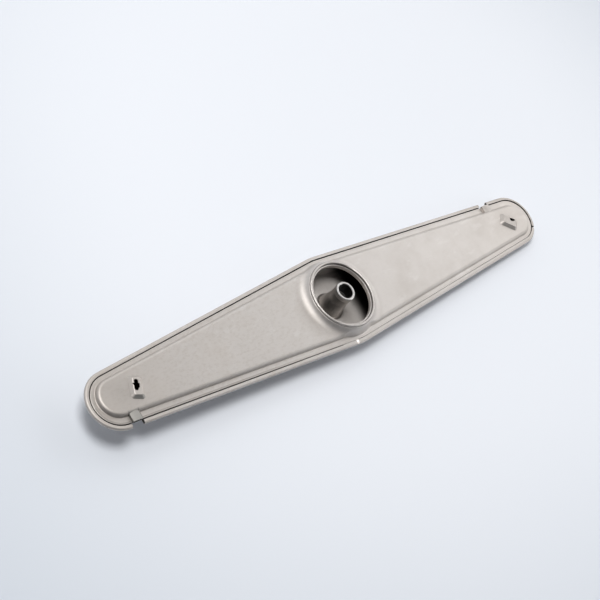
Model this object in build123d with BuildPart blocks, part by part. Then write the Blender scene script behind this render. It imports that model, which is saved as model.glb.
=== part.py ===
from build123d import *
from math import asin, atan2, cos, hypot, radians, sin, sqrt, tan
import os

os.makedirs("parts", exist_ok=True)

# Dishwasher spray arm, feed side up. Millimetres, hub axis on Z, belly's lowest face at z = 0,
# X along the arm. The plan outline is measured at the seam, where the folded rim ends on the flange.
sheet = 0.8
half_length = 235.0
end_radius = 19.1
corner_radius = 60.0

# Rim: joggled flange of the feed shell, and the open hem of the spray shell that holds it
rim_height = 13.0
joggle_depth = 1.3
joggle_inset = 0.35
joggle_round = 0.4
ledge_reach = 1.8
hem_reach = 3.3
hem_inner_round = 0.55
hem_slack = 0.02

# How far the hem's cut edge stands outside the seam, round the rim: it was closed unevenly
hem_edge_back_corner = 0.6
hem_edge_right_back = 0.5
hem_edge_right_tip = 0.9
hem_edge_right_front = -0.15
hem_edge_front_corner = -0.25
hem_edge_left_front = 0.45
hem_edge_left_tip = 0.35
hem_edge_left_back = 0.15

# Raised panel of the feed shell, pressed a little askew in its rim, which bulges round the mouth
panel_inset = 4.3
panel_turn = -0.25
panel_rise = 3.0
panel_draft = 24.0
panel_round = 2.6
panel_foot_round = 0.6
bulge_overlap = 3.8
bulge_flange = 2.8
bulge_blend = 20.0

# Mouth: collar drawn up from the panel, rolled lip, and a stepped seat inside
mouth_radius = 24.7
seat_width = 1.3
lip_width = 1.7
lip_height = 9.1
collar_reach = 8.3
collar_flare = 8.4
collar_shoulder = 7.8
collar_round = 0.4
seat_height = 7.5
skirt_end = 4.5

# Hub post drawn up from the belly, and the flanged bush in its neck
neck_radius = 7.8
neck_length = 10.5
post_foot_radius = 9.6
post_foot_round = 3.0
hub_height = 13.1
bore_radius = 6.0
bush_head = 1.0
bush_length = 9.5
bush_press = 0.02
bush_chamfer = 0.4

# Belly of the spray shell
belly_inset = 3.6
belly_draft = 20.0
belly_round = 3.0
belly_flat_half = 28.0
belly_tip_rise = 7.0
belly_bend = 600.0

# Pressed jets: a roof-shaped blister with a slot along its top
jet_height = 2.2
jet_draft = 47.0
jet_corner = 2.6
jet_top_round = 0.6

# Left jet of the feed side: distance from the tip, place across the arm, sizes, and the slot on its roof,
# which is torn wider at its middle
left_jet_from_tip = 35.85
left_jet_across = 0.95
left_jet_turn = 66.5
left_jet_size = (17.3, 11.0)
left_slot_size = (8.6, 3.2)
left_slot_place = (0.95, 0.85)
left_slot_turn = -5.5
left_slot_tear = [(1.0, 2.9), (-2.4, 0.7), (-2.0, -2.5), (1.5, -2.4)]

# Right jet of the feed side
right_jet_from_tip = 28.5
right_jet_across = -0.95
right_jet_turn = -44.0
right_jet_size = (17.0, 11.8)
right_slot_size = (5.4, 3.0)
right_slot_place = (2.4, 2.65)
right_slot_turn = 29.0

# Jets on the spray side: a row on each wing, counted from its tip inward, with one size for all
spray_jet_count = 4
spray_jet_from_right_tip = 36.0
spray_jet_from_left_tip = 24.0
spray_jet_pitch_right = 31.0
spray_jet_pitch_left = 33.0
spray_jet_size = (13.0, 9.0)
spray_jet_rise = 1.2
spray_slot_size = (6.0, 2.0)
spray_jet_turn = 25.0
spray_jet_offset = 4.0

# Side spouts: a tunnel from the panel across the flange, where the hem is cut away
spout_width = 6.6
spout_height = 1.7
spout_crown = 0.8
spout_root = 2.5
spout_notch = 10.0
left_spout_from_tip = 24.4
right_spout_from_tip = 39.7

# Marks on the hem: a punched stake that locks it at the front corner, and a split at the right tip
stake_place = -6.0
stake_width = 2.6
stake_depth = 0.6
split_angle = -37.0
split_width = 1.8

# Worked out from the sizes above
lip_inner_radius = mouth_radius + seat_width
lip_outer_radius = lip_inner_radius + lip_width
collar_foot_radius = lip_outer_radius + collar_reach
bulge_radius = collar_foot_radius - bulge_overlap
corner_half_width = bulge_radius + bulge_flange
end_centre = half_length - end_radius
corner_distance = hypot(end_centre, corner_half_width)
edge_angle = atan2(corner_half_width, end_centre) - asin(end_radius / corner_distance)
ledge_top = rim_height - joggle_depth
ledge_bottom = ledge_top - sheet
flange_bottom = ledge_bottom - sheet
hem_radius = (rim_height - flange_bottom) / 2
panel_top = rim_height + panel_rise
spout_places = [(left_spout_from_tip - half_length, -1), (half_length - right_spout_from_tip, 1)]
near_zero = 1e-3


def wall_shift(draft, thickness=sheet):
    """Sideways shift of a drafted wall's inside, measured one thickness nearer its foot."""
    return thickness / cos(radians(draft)) - thickness * tan(radians(draft))


def edge_point(x, side, grow=0.0):
    """Point of the straight edge at x, on the back (side 1) or the front (side -1)."""
    reach = corner_half_width - abs(x) * tan(edge_angle) + grow / cos(edge_angle)
    return Vector(x, side * reach)


def edge_frame(x, side, height):
    """Plane on the seam at x: its X runs along the edge, its Y is up and its Z points out of the arm."""
    slope = edge_angle if x > 0 else -edge_angle
    outward = Vector(sin(slope), side * cos(slope))
    along = Vector(0, 0, 1).cross(outward)
    point = edge_point(x, side)
    return Plane(origin=(point.X, point.Y, height), x_dir=along, z_dir=outward)


def arm_outline(grow, height):
    """Plan outline of the arm at a height, grown outward from the seam."""
    radius = end_radius + grow
    corner = corner_half_width + grow / cos(edge_angle)
    touch = Vector(end_centre + radius * sin(edge_angle), radius * cos(edge_angle))
    with BuildSketch(Plane.XY.offset(height)) as plan:
        with BuildLine():
            Line((0, corner), touch)
            ThreePointArc(touch, (end_centre + radius, 0), (touch.X, -touch.Y))
            Line((touch.X, -touch.Y), (0, -corner))
            mirror(about=Plane.YZ)
        make_face()
        corners = plan.vertices().filter_by(lambda v: abs(v.X) < near_zero)
        fillet(corners, radius=corner_radius + grow)
    return plan.sketch


def panel_outline(inset, height):
    """Outline of the raised panel at a height: the arm's outline, swollen round the mouth."""
    swell = bulge_radius - (inset - panel_inset)
    with BuildSketch(Plane.XY.offset(height)) as plan:
        add(arm_outline(-inset, 0), rotation=panel_turn)
        Circle(swell)
        meets = plan.vertices().filter_by(lambda v: abs(hypot(v.X, v.Y) - swell) < near_zero)
        fillet(meets, radius=bulge_blend)
    return plan.sketch


def hem_opening(height):
    """Opening inside the hem's cut edge, which stands unevenly from the seam."""
    turn = Vector(sin(edge_angle), cos(edge_angle))

    def touch(wing, side, grow):
        radius = end_radius + grow
        return Vector(wing * (end_centre + radius * turn.X), side * radius * turn.Y)

    back_corner = edge_point(0, 1, hem_edge_back_corner)
    front_corner = edge_point(0, -1, hem_edge_front_corner)
    right_back = touch(1, 1, hem_edge_right_back)
    right_front = touch(1, -1, hem_edge_right_front)
    left_front = touch(-1, -1, hem_edge_left_front)
    left_back = touch(-1, 1, hem_edge_left_back)
    with BuildSketch(Plane.XY.offset(height)) as plan:
        with BuildLine():
            Line(back_corner, right_back)
            ThreePointArc(right_back, (half_length + hem_edge_right_tip, 0), right_front)
            Polyline(right_front, front_corner, left_front)
            ThreePointArc(left_front, (-half_length - hem_edge_left_tip, 0), left_back)
            Line(left_back, back_corner)
        make_face()
    return plan.sketch


def collar_arc_end(thickness):
    """Radius at which the collar's flare reaches its shoulder, outside or inside the sheet."""
    flare = collar_flare + thickness
    drop = collar_flare - (collar_shoulder - thickness - panel_rise)
    return collar_foot_radius - sqrt(flare**2 - drop**2)


def panel_block(thickness, rounding):
    """Solid under the outside (thickness 0) or the inside of the feed shell's panel and collar."""
    inset = panel_inset + wall_shift(panel_draft, thickness)
    base = rim_height - thickness
    rise = collar_shoulder
    narrowing = rise * tan(radians(panel_draft))
    roof = panel_top - thickness
    shoulder = rim_height + collar_shoulder - thickness
    shoulder_radius = collar_arc_end(thickness)
    with BuildPart() as block:
        with BuildSketch(Plane.XY.offset(base)):
            Rectangle(2 * half_length, 2 * corner_half_width)
        extrude(amount=roof - base)
        with BuildSketch(Plane.XZ):
            with BuildLine():
                foot = Line((0, roof), (collar_foot_radius, roof))
                flare = TangentArc(foot @ 1, (shoulder_radius, shoulder), tangent=(-1, 0))
                Polyline(flare @ 1, (0, shoulder), (0, roof))
            make_face()
        revolve(axis=Axis.Z)
        loft(
            [panel_outline(inset, base), panel_outline(inset + narrowing, base + rise)],
            ruled=True,
            mode=Mode.INTERSECT,
        )
        walls = block.faces().filter_by(lambda f: abs(f.bounding_box().min.Z - base) < near_zero)
        walls = walls.filter_by(lambda f: f.bounding_box().size.Z > panel_rise / 2)
        top_edges = walls.edges().filter_by(lambda e: e.bounding_box().min.Z > base + panel_rise / 2)
        fillet(top_edges, radius=rounding)
    return block.part


def jet_block(seat, length, width, height):
    """Solid of a pressed jet's blister, standing on a seat plane."""
    run = 2 * height * tan(radians(jet_draft))
    with BuildSketch(seat) as foot:
        RectangleRounded(length, width, jet_corner)
    with BuildSketch(seat.offset(height)) as crown:
        RectangleRounded(length - run, width - run, jet_corner / 2)
    with BuildPart() as block:
        loft([foot.sketch, crown.sketch], ruled=True)
        top = block.faces().sort_by(lambda f: (f.center() - seat.origin).dot(seat.z_dir))[-1]
        fillet(top.edges(), radius=jet_top_round)
    return block.part


def jet_seat(x, y, turn):
    """Plane on the panel for a jet, turned about its upright."""
    along = Vector(1, 0, 0).rotate(Axis.Z, turn)
    return Plane(origin=(x, y, panel_top), x_dir=along, z_dir=(0, 0, 1))


def jet_inside(size):
    """Length and width of a blister's inside, one sheet below its seat."""
    return [side - 2 * wall_shift(jet_draft) for side in size]


def jet_slot(seat, size, place, turn, tear=None):
    """Cutter for a jet's slot, through the top of its blister, with the corners of a tear in it."""
    with BuildSketch(seat.offset(-sheet)) as slot:
        with Locations(Location(place, turn)):
            SlotOverall(*size)
            if tear:
                Polygon(*tear, align=None)
    with BuildPart() as cutter:
        extrude(slot.sketch, amount=2 * (sheet + jet_height))
    return cutter.part


def spout_block(x, side, width, height, inward, outward, floor):
    """Arched tunnel of a side spout, from inward of the seam to outward of it, above a floor height."""
    frame = edge_frame(x, side, floor).offset(-inward)
    half = width / 2
    spring = height - spout_crown
    with BuildSketch(frame) as section:
        with BuildLine():
            sides = Polyline((-half, spring), (-half, 0), (half, 0), (half, spring))
            ThreePointArc(sides @ 1, (0, height), sides @ 0)
        make_face()
    with BuildPart() as block:
        extrude(section.sketch, amount=inward + outward)
    return block.part


def rim_cut(x, side, width, inner, outer, low, high):
    """Cutter across the rim at x, between two distances from the seam and two heights."""
    frame = edge_frame(x, side, low).offset(inner)
    with BuildSketch(frame) as section:
        with Locations((0, (high - low) / 2)):
            Rectangle(width, high - low)
    with BuildPart() as cutter:
        extrude(section.sketch, amount=outer - inner)
    return cutter.part


def hem_pocket():
    """Hollow inside the folded hem, which holds the feed shell's ledge."""
    with BuildPart() as pocket:
        extrude(arm_outline(hem_reach - sheet, ledge_bottom), amount=rim_height - sheet - ledge_bottom)
        fillet(pocket.edges().group_by(Axis.Z)[0], radius=hem_inner_round)
        fillet(pocket.edges().group_by(Axis.Z)[-1], radius=hem_inner_round)
    return pocket.part


def belly_floor(x):
    """Height of the belly's outside at x."""
    run = half_length - belly_flat_half
    return belly_tip_rise * max(0.0, abs(x) - belly_flat_half) / run


def belly_block(inset, top, lift, rounding):
    """Solid of the belly: the tapered plan outline, cut below by the side view's floor."""
    with BuildPart() as block:
        narrowing = (top - lift) * tan(radians(belly_draft))
        loft([arm_outline(-inset, top), arm_outline(-inset - narrowing, lift)], ruled=True)
        with BuildSketch(Plane.XZ) as side:
            with BuildLine():
                Polyline(
                    (0, lift),
                    (belly_flat_half, lift),
                    (half_length, belly_tip_rise + lift),
                    (half_length, top),
                    (0, top),
                )
                mirror(about=Plane.YZ)
            make_face()
            bends = side.vertices().filter_by(lambda v: abs(abs(v.X) - belly_flat_half) < near_zero)
            fillet(bends, radius=belly_bend - lift)
        extrude(amount=2 * corner_half_width, both=True, mode=Mode.INTERSECT)
        floor = block.faces().filter_by(lambda f: f.normal_at().Z < -0.9)
        walls = block.faces().filter_by(lambda f: abs(f.normal_at().Z) < 0.9)
        keel = [edge for edge in floor.edges() if edge in walls.edges()]
        fillet(keel, radius=rounding)
    return block.part


# Feed shell: joggled flange, raised panel and mouth
with BuildPart() as feed_shell:
    extrude(arm_outline(-joggle_inset, ledge_bottom), amount=rim_height - ledge_bottom)
    fillet(feed_shell.edges().group_by(Axis.Z)[-1], radius=joggle_round)
    extrude(arm_outline(ledge_reach, ledge_bottom), amount=sheet)
    add(panel_block(0, panel_round))
    flange_top = feed_shell.faces().filter_by_position(Axis.Z, rim_height - near_zero, rim_height + near_zero)
    fillet(flange_top[0].inner_wires()[0].edges(), radius=panel_foot_round)
    shoulder_edge = feed_shell.faces().sort_by(Axis.Z)[-1].edges()
    fillet(shoulder_edge, radius=collar_round)

    # Side spouts, raised from the panel across the flange
    spout_reach = panel_inset + spout_root
    for x, side in spout_places:
        outer_width = spout_width + 2 * sheet
        add(spout_block(x, side, outer_width, spout_height + sheet, spout_reach, 0, rim_height))

    # Hollow under the flange and the panel
    extrude(arm_outline(-joggle_inset - sheet, ledge_bottom), amount=joggle_depth, mode=Mode.SUBTRACT)
    add(panel_block(sheet, panel_round - sheet), mode=Mode.SUBTRACT)

    # Mouth: rolled lip on the shoulder, stepped seat inside it and a short skirt
    lip_round = lip_width / 2
    lip_bend = rim_height + lip_height - lip_round
    shoulder_under = rim_height + collar_shoulder - sheet
    seat = rim_height + seat_height
    with BuildSketch(Plane.XY.offset(shoulder_under)):
        Circle(lip_outer_radius)
    extrude(amount=sheet, mode=Mode.SUBTRACT)
    with BuildSketch(Plane.XZ):
        with BuildLine():
            outer = Line((lip_outer_radius, shoulder_under), (lip_outer_radius, lip_bend))
            lip = ThreePointArc(
                outer @ 1,
                (lip_outer_radius - lip_round, lip_bend + lip_round),
                (lip_inner_radius, lip_bend),
            )
            ledge = Polyline(lip @ 1, (lip_inner_radius, seat), (mouth_radius + collar_round, seat))
            edge = TangentArc(ledge @ 1, (mouth_radius, seat - collar_round), tangent=(-1, 0))
            Polyline(
                edge @ 1,
                (mouth_radius, rim_height + skirt_end),
                (mouth_radius + sheet, rim_height + skirt_end),
                (mouth_radius + sheet, shoulder_under),
                outer @ 0,
            )
        make_face()
    revolve(axis=Axis.Z)

    # Jets pressed up from the panel
    left_seat = jet_seat(left_jet_from_tip - half_length, left_jet_across, left_jet_turn)
    right_seat = jet_seat(half_length - right_jet_from_tip, right_jet_across, right_jet_turn)
    left_slot = jet_slot(left_seat, left_slot_size, left_slot_place, left_slot_turn, left_slot_tear)
    right_slot = jet_slot(right_seat, right_slot_size, right_slot_place, right_slot_turn)
    for seat, size, slot in [(left_seat, left_jet_size, left_slot), (right_seat, right_jet_size, right_slot)]:
        add(jet_block(seat, *size, jet_height))
        add(jet_block(seat.offset(-sheet), *jet_inside(size), jet_height), mode=Mode.SUBTRACT)
        add(slot, mode=Mode.SUBTRACT)

    # Bores of the side spouts, and the ledge cut back beside them
    bore_height = rim_height + spout_height - ledge_bottom
    bore_end = ledge_reach + sheet
    cut_start = hem_slack - joggle_inset
    for x, side in spout_places:
        bore = spout_block(x, side, spout_width, bore_height, spout_reach, bore_end, ledge_bottom)
        add(bore, mode=Mode.SUBTRACT)
        add(rim_cut(x, side, spout_notch, cut_start, hem_reach, ledge_bottom, ledge_top), mode=Mode.SUBTRACT)

feed_shell.part.label = "feed_shell"
export_step(feed_shell.part, "parts/feed_shell.step")

# Spray shell: belly, flange with its hem, hub post and jets
neck_top = rim_height + hub_height - bush_head
neck_bottom = neck_top - neck_length
foot_top = sheet + post_foot_round
with BuildPart() as spray_shell:
    extrude(arm_outline(hem_reach, flange_bottom), amount=rim_height - flange_bottom)
    fillet(spray_shell.edges().group_by(Axis.Z)[0], radius=hem_radius - hem_slack)
    fillet(spray_shell.edges().group_by(Axis.Z)[-1], radius=hem_radius - hem_slack)
    add(belly_block(belly_inset, flange_bottom, 0, belly_round))

    # Hollow: the hem's pocket, its uneven mouth, and the inside of the belly
    add(hem_pocket(), mode=Mode.SUBTRACT)
    extrude(hem_opening(rim_height - sheet), amount=2 * sheet, mode=Mode.SUBTRACT)
    inside_inset = belly_inset + wall_shift(belly_draft)
    add(belly_block(inside_inset, ledge_bottom, sheet, belly_round - sheet), mode=Mode.SUBTRACT)

    # Hub post, drawn up from the belly as one sheet
    with BuildSketch(Plane.XY):
        Circle(post_foot_radius + post_foot_round)
    extrude(amount=sheet, mode=Mode.SUBTRACT)
    with BuildSketch(Plane.XZ):
        with BuildLine():
            rise = Polyline(
                (neck_radius, neck_top),
                (neck_radius, neck_bottom),
                (post_foot_radius, foot_top),
            )
            flare = ThreePointArc(
                rise @ 1,
                (
                    post_foot_radius + post_foot_round * (1 - sin(radians(45))),
                    foot_top - post_foot_round * sin(radians(45)),
                ),
                (post_foot_radius + post_foot_round, sheet),
            )
            under = Polyline(
                flare @ 1,
                (post_foot_radius + post_foot_round, 0),
            )
            inner_flare = ThreePointArc(
                under @ 1,
                (
                    post_foot_radius + post_foot_round - (post_foot_round + sheet) * sin(radians(45)),
                    foot_top - (post_foot_round + sheet) * sin(radians(45)),
                ),
                (post_foot_radius - sheet, foot_top),
            )
            Polyline(
                inner_flare @ 1,
                (neck_radius - sheet, neck_bottom),
                (neck_radius - sheet, neck_top),
                rise @ 0,
            )
        make_face()
    revolve(axis=Axis.Z)

    # Jets pressed out of the belly
    wing_slope = atan2(belly_tip_rise, half_length - belly_flat_half)
    for count in range(spray_jet_count):
        right_x = half_length - spray_jet_from_right_tip - count * spray_jet_pitch_right
        left_x = spray_jet_from_left_tip - half_length + count * spray_jet_pitch_left
        for wing, x in [(1, right_x), (-1, left_x)]:
            down = Vector(wing * sin(wing_slope), 0, -cos(wing_slope))
            along = Vector(cos(wing_slope), 0, wing * sin(wing_slope))
            place = (x, wing * spray_jet_offset, belly_floor(x))
            seat = Plane(origin=place, x_dir=along, z_dir=down).rotated((0, 0, spray_jet_turn))
            inside = jet_block(seat.offset(-sheet), *jet_inside(spray_jet_size), spray_jet_rise)
            add(jet_block(seat, *spray_jet_size, spray_jet_rise))
            add(inside, mode=Mode.SUBTRACT)
            add(jet_slot(seat, spray_slot_size, (0, 0), 0), mode=Mode.SUBTRACT)

    # Hem cut away at the spouts, staked at the front corner and split at the right tip
    low = flange_bottom - sheet
    high = rim_height + sheet
    for x, side in spout_places:
        add(rim_cut(x, side, spout_notch, -joggle_inset, 2 * hem_reach, low, high), mode=Mode.SUBTRACT)
    with BuildSketch(edge_frame(stake_place, -1, rim_height).offset(-joggle_inset)) as stake:
        with BuildLine():
            Polyline((-stake_width, stake_depth), (0, -stake_depth), (stake_width, stake_depth), close=True)
        make_face()
    extrude(stake.sketch, amount=2 * hem_reach, mode=Mode.SUBTRACT)
    with BuildSketch(Plane.XY.offset(ledge_bottom)) as split:
        with Locations(Location((end_centre, 0), split_angle)):
            with Locations((end_radius + hem_reach, 0)):
                Rectangle(2 * hem_reach, split_width)
    extrude(split.sketch, amount=2 * rim_height, mode=Mode.SUBTRACT)

spray_shell.part.label = "spray_shell"
export_step(spray_shell.part, "parts/spray_shell.step")

# Hub bush: its head sits on the neck's edge and its body is pressed into the neck
with BuildPart() as hub_bush:
    with BuildSketch(Plane.XY.offset(neck_top)):
        Circle(neck_radius)
    extrude(amount=bush_head)
    with BuildSketch(Plane.XY.offset(neck_top - bush_length)):
        Circle(neck_radius - sheet - bush_press)
    extrude(amount=bush_length)
    with Locations((0, 0, neck_top + bush_head)):
        Hole(bore_radius)
    ends = hub_bush.faces().filter_by(Plane.XY).sort_by(Axis.Z)
    chamfer(ends[-1].edges() + ends[0].edges(), length=bush_chamfer)

hub_bush.part.label = "hub_bush"
export_step(hub_bush.part, "parts/hub_bush.step")
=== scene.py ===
import math

import bpy
from mathutils import Matrix, Vector

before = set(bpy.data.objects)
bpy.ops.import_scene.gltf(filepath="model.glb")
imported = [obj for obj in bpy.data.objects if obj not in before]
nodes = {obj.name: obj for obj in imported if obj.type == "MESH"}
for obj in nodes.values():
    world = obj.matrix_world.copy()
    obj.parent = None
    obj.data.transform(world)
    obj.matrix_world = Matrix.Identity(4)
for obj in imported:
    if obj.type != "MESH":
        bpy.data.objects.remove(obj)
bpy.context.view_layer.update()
mm = 0.001
print("frame:", ", ".join(sorted(nodes)))


class Wire:  # one output socket, so that shader maths reads as Python
    def __init__(self, socket):
        self.socket = socket

    def maths(self, operation, *values):
        step = self.socket.id_data.nodes.new("ShaderNodeMath")
        step.operation = operation
        for slot, value in zip(step.inputs, values):
            plug(slot, value)
        return Wire(step.outputs[0])

    def __add__(self, other):
        return self.maths("ADD", self, other)

    def __radd__(self, other):
        return self.maths("ADD", other, self)

    def __sub__(self, other):
        return self.maths("SUBTRACT", self, other)

    def __rsub__(self, other):
        return self.maths("SUBTRACT", other, self)

    def __mul__(self, other):
        return self.maths("MULTIPLY", self, other)

    def __rmul__(self, other):
        return self.maths("MULTIPLY", other, self)

    def __truediv__(self, other):
        return self.maths("DIVIDE", self, other)

    def __rtruediv__(self, other):
        return self.maths("DIVIDE", other, self)

    def __pow__(self, other):
        return self.maths("POWER", self, other)

    def __rpow__(self, other):
        return self.maths("POWER", other, self)

    def __abs__(self):
        return self.maths("ABSOLUTE", self)

    def __gt__(self, other):
        return self.maths("GREATER_THAN", self, other)

    def __lt__(self, other):
        return self.maths("LESS_THAN", self, other)

    def between(self, low, high):
        return (self > low) * (self < high)

    def most(self, other):
        return self.maths("MAXIMUM", self, other)


def plug(slot, value):
    if isinstance(value, Wire):
        slot.id_data.links.new(value.socket, slot)
    else:
        slot.default_value = value


class Bench:  # the node tree of one material or of the world
    def __init__(self, owner):
        owner.use_nodes = True
        self.tree = owner.node_tree
        self.tree.nodes.clear()

    def add(self, kind, settings=None, sockets=None, out=0):
        node = self.tree.nodes.new("ShaderNode" + kind)
        for name, value in (settings or {}).items():
            setattr(node, name, value)
        for name, value in (sockets or {}).items():
            plug(node.inputs[name], value)
        return Wire(node.outputs[out]) if node.outputs else node

    def axis(self, vector, name):
        return self.add("SeparateXYZ", {}, {"Vector": vector}, out=name)

    def mixColour(self, factor, first, second):  # the node's colour sockets go by number
        return self.add("Mix", {"data_type": "RGBA"}, {0: factor, 6: first, 7: second}, out=2)

    def ramp(self, value, low, high):  # 0 at low, 1 at high, smooth between
        sockets = {"Value": value, "From Min": low, "From Max": high}
        return self.add("MapRange", {"interpolation_type": "SMOOTHSTEP"}, sockets)

    def line(self, distance, core, edge):  # 1 up to core from the line, 0 beyond edge
        return 1.0 - self.ramp(abs(distance), core, edge)

    def noise(self, place, scale, detail, roughness):
        sockets = {"Vector": place, "Scale": scale, "Detail": detail, "Roughness": roughness}
        return self.add("TexNoise", {}, sockets)

    def texture(self, place, kind, shift, turn=0.0):  # noise of one kind, stretched, moved and turned
        turns = (0.0, 0.0, turn)
        sockets = {"Vector": place, "Scale": kind["stretch"], "Location": shift, "Rotation": turns}
        return self.noise(self.add("Mapping", {}, sockets), *kind["noise"])


# Plan of the rim, as in the solids: the seam is where the hem's edge lies on the flange
rim = {
    "halfLength": 235.0 * mm,
    "endRadius": 19.1 * mm,
    "cornerHalfWidth": 35.0 * mm,
    "height": 13.0 * mm,
    "panelInset": 4.3 * mm,
    "panelTurn": math.radians(0.25),  # the panel lies a little askew in its rim
}


def seamOffset(x, y):  # distance outside the seam, in plan
    endCentre = rim["halfLength"] - rim["endRadius"]
    corner = rim["cornerHalfWidth"]
    angle = math.atan2(corner, endCentre) - math.asin(rim["endRadius"] / math.hypot(corner, endCentre))
    ax, ay = abs(x), abs(y)
    along = ax - endCentre
    straight = (ay - corner + ax * math.tan(angle)) * math.cos(angle)
    curved = (along * along + ay * ay) ** 0.5 - rim["endRadius"]
    onTip = along * math.cos(angle) - ay * math.sin(angle) > 0.0
    return straight + (curved - straight) * onTip


class Spot:  # where a point of a shell lies and faces; its height is above the rim
    def __init__(self, bench, place):
        self.x = bench.axis(place, "X")
        self.y = bench.axis(place, "Y")
        self.height = bench.axis(place, "Z") - rim["height"]
        self.offset = seamOffset(self.x, self.y)
        self.fromHub = (self.x * self.x + self.y * self.y) ** 0.5
        self.front = self.y < 0.0
        facing = bench.add("NewGeometry", out="True Normal")
        self.facingY = bench.axis(facing, "Y")
        self.facingZ = bench.axis(facing, "Z")


# Marks of rolling, handling and water all over a shell; a noise is its scale, detail and roughness
rolled = {
    "grain": {"stretch": (160.0, 5200.0, 5200.0), "noise": (1.0, 3.0, 0.6)},
    "cloud": {"stretch": (1.0, 1.0, 1.0), "noise": (38.0, 4.0, 0.62)},
    "patch": {"stretch": (0.7, 1.6, 1.0), "noise": (95.0, 5.0, 0.6)},
    "speck": {"stretch": (1.0, 1.0, 1.0), "noise": (1500.0, 2.0, 0.5)},
    "blotch": {"stretch": (0.8, 1.4, 1.0), "noise": (330.0, 5.0, 0.7)},
    "scratch": {"stretch": (22.0, 2600.0, 400.0), "noise": (1.0, 1.0, 0.4)},
    "drop": {"stretch": (1.0, 1.0, 1.0), "noise": (62.0, 2.5, 0.55)},
    "dropPatch": {"stretch": (1.0, 1.0, 1.0), "noise": (14.0, 1.0, 0.5)},
    "smudgeReach": (0.56, 0.70),  # values of the noise at which the mark starts and is full
    "tarnishReach": (0.42, 0.72),
    "mottleReach": (0.46, 0.66),
    "mottleRight": 0.2,  # share of the mottling that is left on the right wing
    "mottleSide": (80.0 * mm, -140.0 * mm),
    "scratchReach": (0.70, 0.78),
    "scratchTurns": (0.5, -0.9),
    "dropEdge": 0.52,  # dried drops show as lines where the noise has this value
    "dropEdgeWidth": 0.012,
    "dropReach": (0.50, 0.62),
    "seedShift": Vector((0.37, 0.61, 0.23)),
}


def rolledMarks(bench, place, spot, seed):
    shift = rolled["seedShift"] * seed
    kinds = ("grain", "cloud", "patch", "speck", "blotch", "drop", "dropPatch")
    marks = {kind: bench.texture(place, rolled[kind], shift) for kind in kinds}
    marks["smudge"] = bench.ramp(marks["patch"], *rolled["smudgeReach"])
    marks["tarnish"] = bench.ramp(marks["cloud"], *rolled["tarnishReach"])
    leftness = bench.ramp(spot.x, *rolled["mottleSide"])
    mottle = bench.ramp(marks["blotch"], *rolled["mottleReach"])
    marks["mottle"] = mottle * (rolled["mottleRight"] + leftness * (1.0 - rolled["mottleRight"]))
    first, second = [
        bench.ramp(bench.texture(place, rolled["scratch"], shift, turn), *rolled["scratchReach"])
        for turn in rolled["scratchTurns"]
    ]
    marks["scratch"] = first.most(second)
    edge = bench.line(marks["drop"] - rolled["dropEdge"], 0.0, rolled["dropEdgeWidth"])
    marks["drops"] = edge * bench.ramp(marks["dropPatch"], *rolled["dropReach"])
    return marks


# Painted shade along the rim: in the hem's pocket, at the panel's foot, in the crease beside the joggle
# and in the seam
rimShade = {
    "pocketOffset": (-0.6 * mm, 2.7 * mm),
    "pocketHeight": (-2.6 * mm, -0.5 * mm),
    "stakePlace": -6.0 * mm,  # no painted shade on the stake, which stays bare metal
    "stakeHalf": 1.6 * mm,
    "flangeHeight": (-0.4 * mm, 0.5 * mm),
    "footWidth": (0.1 * mm, 0.9 * mm),
    "footShare": 0.35,
    "creasePlace": -1.35 * mm,
    "creaseWidth": (0.1 * mm, 0.7 * mm),
    "creaseShare": 0.28,
    "creaseFrontLeft": 0.35,
    "edgeShadeLeast": 0.6,
    "edgeShadeCloud": 0.8,
    "seamWidth": (0.15 * mm, 0.6 * mm),
    "seamLeast": 0.45,
    "seamCloud": 0.5,
    "seamFrontLeft": 0.25,
    "lessShadeFrom": -20.0 * mm,  # less painted shade on the front right seam
    "lessShadeShare": 0.7,
    "frontLeftReach": (-40.0 * mm, -110.0 * mm),
}


def rimMarks(bench, spot, cloud):
    x, y, offset = spot.x, spot.y, spot.offset
    stake = (abs(x - rimShade["stakePlace"]) < rimShade["stakeHalf"]) * spot.front
    # painted shade: the hem's pocket, the panel's foot, the crease and the seam are darkened
    pocket = offset.between(*rimShade["pocketOffset"]) * spot.height.between(*rimShade["pocketHeight"])
    onFlange = spot.height.between(*rimShade["flangeHeight"])
    footOffset = seamOffset(x, y + x * rim["panelTurn"]) + rim["panelInset"]
    foot = onFlange * bench.line(footOffset, *rimShade["footWidth"])
    crease = onFlange * bench.line(offset - rimShade["creasePlace"], *rimShade["creaseWidth"])
    edgeShade = (foot * rimShade["footShare"]).most(crease * rimShade["creaseShare"])
    frontRight = (x > rimShade["lessShadeFrom"]) * spot.front
    frontLeft = bench.ramp(x, *rimShade["frontLeftReach"]) * spot.front
    seam = onFlange * bench.line(offset, *rimShade["seamWidth"])
    seam = seam * (1.0 - frontRight * rimShade["lessShadeShare"])
    seamShare = rimShade["seamLeast"] + cloud * rimShade["seamCloud"]
    seamShare = seamShare + frontLeft * rimShade["seamFrontLeft"]
    return {
        "pocket": pocket * (1.0 - stake),
        "edgeShade": edgeShade * (rimShade["edgeShadeLeast"] + cloud * rimShade["edgeShadeCloud"]),
        "seam": seam * seamShare,
        "crease": crease * frontLeft * rimShade["creaseFrontLeft"],
    }
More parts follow.
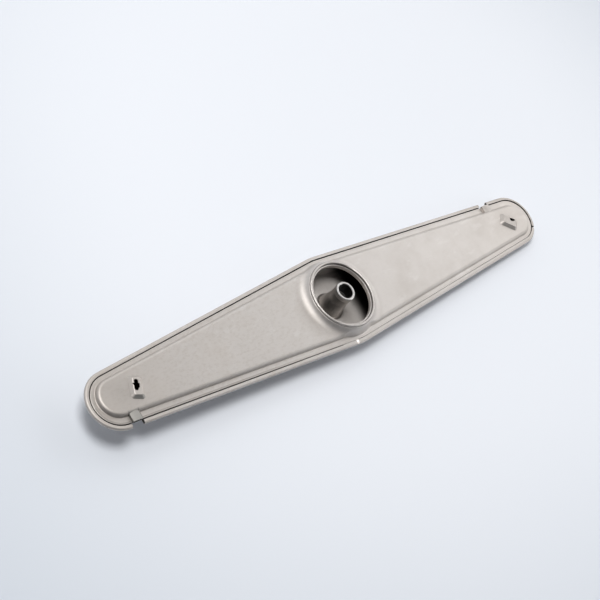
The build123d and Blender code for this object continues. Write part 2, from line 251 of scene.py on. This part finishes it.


# The mouth: lime on the water side, painted shade deep in the mouth and down the post's front left side,
# painted shade lines beside the lip
mouth = {
    "insideHeight": -3.2 * mm,
    "insideOffset": -4.0 * mm,
    "insideFacing": -0.2,
    "deepReach": (17.0 * mm, 32.0 * mm),
    "chalkFrom": 11.5 * mm,
    "chalkLeast": 0.55,
    "chalkPatch": 0.3,
    "innerRing": 26.0 * mm,
    "innerWidth": (0.15 * mm, 0.5 * mm),
    "innerTop": 8.35 * mm,
    "outerRing": 27.85 * mm,
    "outerWidth": (0.1 * mm, 0.45 * mm),
    "outerTop": 8.1 * mm,
    "outerShare": 0.7,
    "ringFoot": 6.0 * mm,
    "ringShare": 0.75,
    "postRadius": (6.7 * mm, 12.0 * mm),
    "postHeight": (-10.0 * mm, 9.0 * mm),
    "postShadeWay": (-0.9, -0.44),
    "postShadeReach": (0.5, 0.95),
}


def mouthMarks(bench, spot, patch):
    x, y, fromHub, height = spot.x, spot.y, spot.fromHub, spot.height
    inside = (spot.facingZ > mouth["insideFacing"]) * (height < mouth["insideHeight"])
    inside = inside * (spot.offset < mouth["insideOffset"])
    deep = bench.ramp(abs(x), *mouth["deepReach"])
    chalk = inside * (1.0 - deep) * (fromHub > mouth["chalkFrom"])
    innerRing = bench.line(fromHub - mouth["innerRing"], *mouth["innerWidth"])
    innerRing = innerRing * (height < mouth["innerTop"])
    outerRing = bench.line(fromHub - mouth["outerRing"], *mouth["outerWidth"])
    outerRing = outerRing * (height < mouth["outerTop"])
    lipShade = innerRing.most(outerRing * mouth["outerShare"]) * (height > mouth["ringFoot"])
    onPost = fromHub.between(*mouth["postRadius"]) * height.between(*mouth["postHeight"])
    toPostShade = (x * mouth["postShadeWay"][0] + y * mouth["postShadeWay"][1]) / fromHub
    # painted shade deep in the mouth, down the post's front left side and beside the lip
    return {
        "inside": inside,
        "dark": inside * deep,
        "chalk": chalk * (mouth["chalkLeast"] + patch * mouth["chalkPatch"]),
        "lipShade": lipShade * mouth["ringShare"],
        "postShade": onPost * bench.ramp(toPostShade, *mouth["postShadeReach"]),
    }


# Pressed forms: stretched steel is duller; painted shade lies on the left jet's front walls, on the left
# spout and along its sides, and both tips are dirty
pressed = {
    "collarFrom": 27.5 * mm,
    "collarReach": (36.0 * mm, 40.0 * mm),
    "collarFoot": 2.0 * mm,
    "panelEdge": (0.8 * mm, 2.95 * mm),
    "hemOffset": 1.0 * mm,
    "jetFoot": 3.05 * mm,
    "jetsFrom": 150.0 * mm,
    "leftJetDull": 0.5,
    "frontFacing": -0.35,
    "leftJetShade": 0.7,
    "spoutPlace": -210.6 * mm,
    "spoutHalf": 4.1 * mm,
    "spoutRoot": (-8.6 * mm, -6.0 * mm),
    "spoutEnd": 0.5 * mm,
    "spoutFoot": -0.2 * mm,
    "spoutShade": 0.85,
    "spoutSideWidth": (0.1 * mm, 0.7 * mm),
    "spoutSideShare": 0.5,
    "tipReach": (140.0 * mm, 228.0 * mm),
    "tipShare": 0.55,
}


def pressedMarks(bench, spot):
    x, height, offset, fromHub = spot.x, spot.height, spot.offset, spot.fromHub
    collar = (fromHub > pressed["collarFrom"]) * (1.0 - bench.ramp(fromHub, *pressed["collarReach"]))
    collar = collar * (height > pressed["collarFoot"])
    drawn = collar.most(height.between(*pressed["panelEdge"])).most(offset > pressed["hemOffset"])
    jets = (height > pressed["jetFoot"]) * (abs(x) > pressed["jetsFrom"])
    jetDull = jets * (pressed["leftJetDull"] + (x > 0.0) * (1.0 - pressed["leftJetDull"]))
    # painted shade on the left jet's front walls, on the left spout and along its sides
    jetShade = jets * (x < 0.0) * (spot.facingY < pressed["frontFacing"]) * pressed["leftJetShade"]
    fromSpout = abs(x - pressed["spoutPlace"])
    onSpout = bench.ramp(offset, *pressed["spoutRoot"]) * (offset < pressed["spoutEnd"])
    onSpout = onSpout * (height > pressed["spoutFoot"]) * spot.front
    spoutShade = onSpout * (fromSpout < pressed["spoutHalf"]) * pressed["spoutShade"]
    spoutSideShade = onSpout * bench.line(fromSpout - pressed["spoutHalf"], *pressed["spoutSideWidth"])
    return {
        "drawn": drawn.most(jetDull),
        "jetAndSpoutShade": jetShade.most(spoutShade),
        "spoutSideShade": spoutSideShade * pressed["spoutSideShare"],
        "tips": bench.ramp(abs(x), *pressed["tipReach"]) * pressed["tipShare"],
    }


# Satin steel of both shells: each layer is a mark, its share, and the tone that it lays on those before
steel = {
    "colour": (0.625, 0.592, 0.566, 1.0),
    "worn": (0.690, 0.665, 0.645, 1.0),
    "stainAndShadeTone": (0.520, 0.478, 0.440, 1.0),
    "scale": (0.705, 0.690, 0.670, 1.0),
    "shadeGrey": (0.400, 0.396, 0.376, 1.0),
    "deepShade": (0.030, 0.027, 0.024, 1.0),
    "shadeTone": (0.016, 0.014, 0.012, 1.0),
    "layers": [
        ("tarnish", 0.36, "stainAndShadeTone"),
        ("smudge", 0.40, "worn"),
        ("drops", 0.36, "scale"),
        ("grain", 0.20, "worn"),
        # painted shade at the panel's foot and beside the joggle, and dirty tips
        ("edgeShadeAndDirtyTips", 1.0, "stainAndShadeTone"),
        ("mottle", 0.50, "stainAndShadeTone"),
        # painted shade on the left jet's front walls and the left spout
        ("jetAndSpoutShade", 1.0, "shadeGrey"),
        # painted shade deep in the mouth and down the post
        ("dark", 0.9, "deepShade"),
        ("postShade", 0.6, "deepShade"),
        # painted shade in the pocket, seam, crease, beside the lip and along the spout's sides
        ("paintedShade", 0.95, "shadeTone"),
    ],
    "roughness": 0.33,  # before each mark adds its share
    "roughened": {
        "cloud": 0.18,
        "grain": 0.08,
        "smudge": -0.04,
        "scratch": -0.06,
        "drops": 0.08,
        "edgeShade": 0.2,
        "pocket": 0.4,
        "drawn": 0.12,
        "inside": -0.10,
        "jetAndSpoutShade": 0.12,
    },
    "relief": {"grain": 0.35, "speck": 0.30, "cloud": 3.0, "scratch": -0.5, "drops": 0.25},
    "bumpStrength": 0.10,
    "bumpDistance": 0.12 * mm,
    "shadeHidesMetal": 0.9,  # share of the metal that the painted shade in the pocket hides
    "feedSeed": 1.0,
    "spraySeed": 4.0,
}


def weigh(marks, shares, start):
    total = start
    for mark, share in shares.items():
        total = total + marks[mark] * share
    return total


def makeSteel(name, seed):
    material = bpy.data.materials.new(name)
    bench = Bench(material)
    place = bench.add("TexCoord", out="Object")
    spot = Spot(bench, place)
    marks = rolledMarks(bench, place, spot, seed)
    marks.update(rimMarks(bench, spot, marks["cloud"]))
    marks.update(mouthMarks(bench, spot, marks["patch"]))
    marks.update(pressedMarks(bench, spot))
    marks["edgeShadeAndDirtyTips"] = marks["edgeShade"].most(marks["tips"])
    # painted shade in the hem's pocket, the seam, the crease, beside the lip and along the spout's sides
    marks["paintedShade"] = marks["pocket"]
    for mark in ("lipShade", "seam", "spoutSideShade", "crease"):
        marks["paintedShade"] = marks["paintedShade"].most(marks[mark])

    colour = steel["colour"]
    for mark, share, tone in steel["layers"]:
        colour = bench.mixColour(marks[mark] * share, colour, steel[tone])
    bump = bench.add("Bump", {}, {
        "Strength": steel["bumpStrength"],
        "Distance": steel["bumpDistance"],
        "Height": weigh(marks, steel["relief"], 0.0),
    })
    shader = bench.add("BsdfPrincipled", {}, {
        "Base Color": colour,
        "Metallic": 1.0 - marks["pocket"] * steel["shadeHidesMetal"] - marks["chalk"],
        "Roughness": weigh(marks, steel["roughened"], steel["roughness"]),
        "Normal": bump,
    })
    bench.add("OutputMaterial", {}, {"Surface": shader})
    return material


turned = {
    "colour": (0.700, 0.690, 0.675, 1.0),
    "dull": (0.560, 0.545, 0.525, 1.0),
    "dullReach": (0.40, 0.75),
    # painted shade inside the bore
    "boreShade": (0.045, 0.042, 0.038, 1.0),
    "boreShadeShare": 0.85,
    "boreShadeRadius": 6.2 * mm,
    "boreShadeTop": 12.2 * mm,  # above the rim
    "grooves": 9000.0,  # lathe marks in a metre, about
    "grooveNoise": (1.0, 2.0, 0.6),
    "cloudNoise": (420.0, 3.0, 0.6),
    "roughness": 0.16,  # before the grooves and the cloud add their shares
    "grooveShare": 0.16,
    "cloudShare": 0.12,
    "bumpStrength": 0.25,
    "bumpDistance": 0.04 * mm,
}


def makeTurned(name):
    material = bpy.data.materials.new(name)
    bench = Bench(material)
    place = bench.add("TexCoord", out="Object")
    x = bench.axis(place, "X")
    y = bench.axis(place, "Y")
    z = bench.axis(place, "Z")
    radius = (x * x + y * y) ** 0.5
    lathe = bench.add("CombineXYZ", {}, {"X": radius * turned["grooves"], "Y": z * turned["grooves"]})
    groove = bench.noise(lathe, *turned["grooveNoise"])
    cloud = bench.noise(place, *turned["cloudNoise"])
    bore = (radius < turned["boreShadeRadius"]) * (z < rim["height"] + turned["boreShadeTop"])
    colour = bench.mixColour(bench.ramp(cloud, *turned["dullReach"]), turned["colour"], turned["dull"])
    # painted shade inside the bore
    colour = bench.mixColour(bore * turned["boreShadeShare"], colour, turned["boreShade"])
    roughness = turned["roughness"] + groove * turned["grooveShare"] + cloud * turned["cloudShare"]
    bump = bench.add("Bump", {}, {
        "Strength": turned["bumpStrength"],
        "Distance": turned["bumpDistance"],
        "Height": groove,
    })
    shader = bench.add("BsdfPrincipled", {}, {
        "Base Color": colour,
        "Metallic": 1.0,
        "Roughness": roughness,
        "Normal": bump,
    })
    bench.add("OutputMaterial", {}, {"Surface": shader})
    return material


def dress(node, material):
    mesh = nodes[node].data
    mesh.materials.clear()
    mesh.materials.append(material)


dress("feed_shell", makeSteel("feedSteel", steel["feedSeed"]))
dress("spray_shell", makeSteel("spraySteel", steel["spraySeed"]))
dress("hub_bush", makeTurned("bushSteel"))
print("finishes: satin steel on both shells, turned steel on the bush")


floor = {
    "reach": 6.0,
    "colour": (0.868, 0.900, 0.958, 1.0),
    "shade": (0.56, 0.615, 0.685, 1.0),  # away from the bright middle
    "bright": Vector((0.09, 0.07, 0.0)),
    "brightReach": (0.18, 0.68),
    "cloudNoise": (1.3, 2.0, 0.5),
    "cloudShare": 0.1,
    "roughness": 0.75,
    "tiltDegrees": 1.94,  # the arm leans on its right wing, so the left end stands off the floor
    "touch": Vector((28.0 * mm, 0.0, -1.28 * mm)),
}


def makeFloor():
    material = bpy.data.materials.new("paleFloor")
    bench = Bench(material)
    place = bench.add("TexCoord", out="Object")
    cloud = bench.noise(place, *floor["cloudNoise"])
    away = bench.add("VectorMath", {"operation": "DISTANCE"}, {0: place, 1: floor["bright"]}, out="Value")
    edge = bench.ramp(away + (cloud - 0.5) * floor["cloudShare"], *floor["brightReach"])
    shade = bench.mixColour(edge, floor["colour"], floor["shade"])
    shader = bench.add("BsdfPrincipled", {}, {"Base Color": shade, "Roughness": floor["roughness"]})
    bench.add("OutputMaterial", {}, {"Surface": shader})
    half = floor["reach"] / 2
    mesh = bpy.data.meshes.new("floor")
    corners = [(-half, -half, 0), (half, -half, 0), (half, half, 0), (-half, half, 0)]
    mesh.from_pydata(corners, [], [(0, 1, 2, 3)])
    mesh.materials.append(material)
    sheet = bpy.data.objects.new("floor", mesh)
    bpy.context.scene.collection.objects.link(sheet)
    tilt = Matrix.Rotation(-math.radians(floor["tiltDegrees"]), 4, "Y")
    sheet.matrix_world = Matrix.Translation(floor["touch"]) @ tilt


makeFloor()
print("floor: pale sheet, tilted as the arm leans")


lamps = {
    "key": {
        "place": (-0.60, 0.44, 2.0),
        "aim": (0.0, 0.0, 0.0),
        "size": (0.8, 0.8),
        "power": 27.0,
        "colour": (1.0, 0.992, 0.98),
    },
    "back": {
        "place": (-0.15, 1.15, 1.45),
        "aim": (0.0, 0.0, 0.0),
        "size": (0.9, 0.7),
        "power": 3.2,
        "colour": (1.0, 0.995, 0.99),
    },
    "side": {
        "place": (1.45, 0.28, 0.95),
        "aim": (0.0, 0.0, 0.0),
        "size": (1.5, 0.95),
        "power": 4.8,
        "colour": (1.0, 0.992, 0.985),
    },
    "fill": {  # low at the front right, for the right wing's front edge
        "place": (0.60, -0.46, 0.26),
        "aim": (0.15, -0.03, 0.0),
        "size": (0.4, 0.28),
        "power": 0.55,
        "colour": (1.0, 0.995, 0.99),
    },
}


def makeLamp(name, lamp):
    data = bpy.data.lights.new(name, "AREA")
    data.shape = "RECTANGLE"
    data.size, data.size_y = lamp["size"]
    data.energy = lamp["power"]
    data.color = lamp["colour"]
    lampObject = bpy.data.objects.new(name, data)
    bpy.context.scene.collection.objects.link(lampObject)
    place = Vector(lamp["place"])
    lampObject.location = place
    lampObject.rotation_euler = (Vector(lamp["aim"]) - place).to_track_quat("-Z", "Y").to_euler()


for lampName, lampSettings in lamps.items():
    makeLamp(lampName, lampSettings)
print("lamps:", ", ".join(lamps))


room = {
    "wall": (0.86, 0.865, 0.875, 1.0),  # pale cove below the ceiling
    "leftWall": (0.54, 0.545, 0.555, 1.0),
    "sideReach": (-0.5, 0.6),
    "ceiling": (0.10, 0.096, 0.090, 1.0),
    "ceilingReach": (0.60, 0.84),
    "front": (0.075, 0.08, 0.09, 1.0),  # open dark side of the studio
    "frontWay": (-0.5, -0.866),
    "frontReach": (0.14, 0.46),
}


def makeRoom():
    world = bpy.data.worlds.new("room")
    bpy.context.scene.world = world
    bench = Bench(world)
    direction = bench.add("TexCoord", out="Generated")
    along = bench.axis(direction, "X")
    across = bench.axis(direction, "Y")
    height = bench.axis(direction, "Z")
    toFront = across * room["frontWay"][1] + along * room["frontWay"][0]
    colour = bench.mixColour(bench.ramp(along, *room["sideReach"]), room["leftWall"], room["wall"])
    colour = bench.mixColour(bench.ramp(height, *room["ceilingReach"]), colour, room["ceiling"])
    colour = bench.mixColour(bench.ramp(toFront, *room["frontReach"]), colour, room["front"])
    back = bench.add("Background", {}, {"Color": colour, "Strength": 1.0})
    bench.add("OutputWorld", {}, {"Surface": back})


makeRoom()
print("room: pale cove, dark ceiling and front")


camera = {
    "place": Vector((-0.813249, -0.209500, 0.897796)),
    "aim": Vector((-0.031707, 0.011100, 0.013000)),
    "rollDegrees": 45.165,
    "lens": 97.598,
    "sensor": 36.0,
    "farthest": 50.0,
}


def makeCamera():
    data = bpy.data.cameras.new("camera")
    data.sensor_width = camera["sensor"]
    data.lens = camera["lens"]
    data.clip_end = camera["farthest"]
    cameraObject = bpy.data.objects.new("camera", data)
    bpy.context.scene.collection.objects.link(cameraObject)
    look = (camera["aim"] - camera["place"]).to_track_quat("-Z", "Y").to_matrix().to_4x4()
    roll = Matrix.Rotation(math.radians(camera["rollDegrees"]), 4, "Z")
    cameraObject.matrix_world = Matrix.Translation(camera["place"]) @ look @ roll
    bpy.context.scene.camera = cameraObject


makeCamera()
bpy.context.scene.view_settings.view_transform = "Standard"
print("camera: at the photograph's angle")
